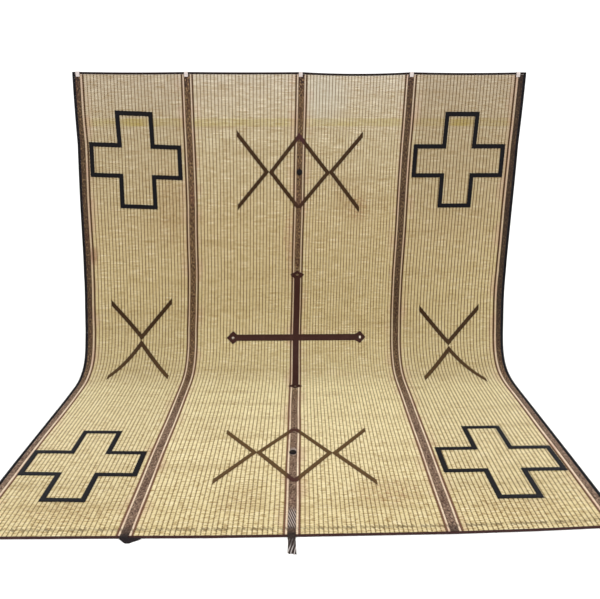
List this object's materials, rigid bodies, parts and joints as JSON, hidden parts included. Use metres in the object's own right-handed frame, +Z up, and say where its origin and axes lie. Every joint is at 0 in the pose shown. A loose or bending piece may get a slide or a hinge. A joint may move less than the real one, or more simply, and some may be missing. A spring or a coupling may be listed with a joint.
{
  "type": "tuareg mat on hanging clips",
  "caption": "Reed and leather floor mat with woven bands and leather motifs, hung by clips at its top edge and swept out flat over the floor.",
  "frame": {"origin": "middle of the top edge of the reed field, on its back, where the clips hold it", "axes": "+X across the mat to the right as seen, -Y out into the room, +Z up"},
  "size_m": [2.5441, 1.6471, 1.6723],
  "materials": {
    "reed": "matte woven reed stems bound by thin thongs",
    "woven_band": "matte twined leather, speckled",
    "thong": "matte",
    "black_leather": "satin",
    "dark_leather": "satin",
    "maroon_leather": "satin, worn",
    "brown_leather": "satin, worn",
    "clip": "satin"
  },
  "bodies": {
    "root": {"reed_field": "reed", "binding_left": "black_leather", "binding_right": "black_leather", "binding_top": "dark_leather", "binding_bottom": "maroon_leather", "band_left_edge": "woven_band", "band_left": "woven_band", "band_centre_upper": "woven_band", "band_centre_lower": "woven_band", "band_right": "woven_band", "band_right_edge": "woven_band", "thong_left_edge": "thong", "thong_left_outer": "thong", "thong_left_inner": "thong", "thong_centre_left": "thong", "thong_centre_right": "thong", "thong_right_inner": "thong", "thong_right_outer": "thong", "thong_right_edge": "thong", "plus_upper_left": "black_leather", "plus_upper_right": "black_leather", "plus_lower_left": "black_leather", "plus_lower_right": "black_leather", "crossed_left_upper": "brown_leather", "crossed_left_lower": "brown_leather", "crossed_right_upper": "brown_leather", "crossed_right_lower": "brown_leather", "diamond_upper": "brown_leather", "chevron_upper_left": "brown_leather", "chevron_upper_right": "brown_leather", "diamond_lower": "brown_leather", "chevron_lower_left": "brown_leather", "chevron_lower_right": "brown_leather", "cross": "maroon_leather", "stud_upper": "black_leather", "stud_lower": "black_leather", "clip_1": "clip", "clip_2": "clip", "clip_3": "clip", "clip_4": "clip", "clip_5": "clip"}
  },
  "joints": []
}
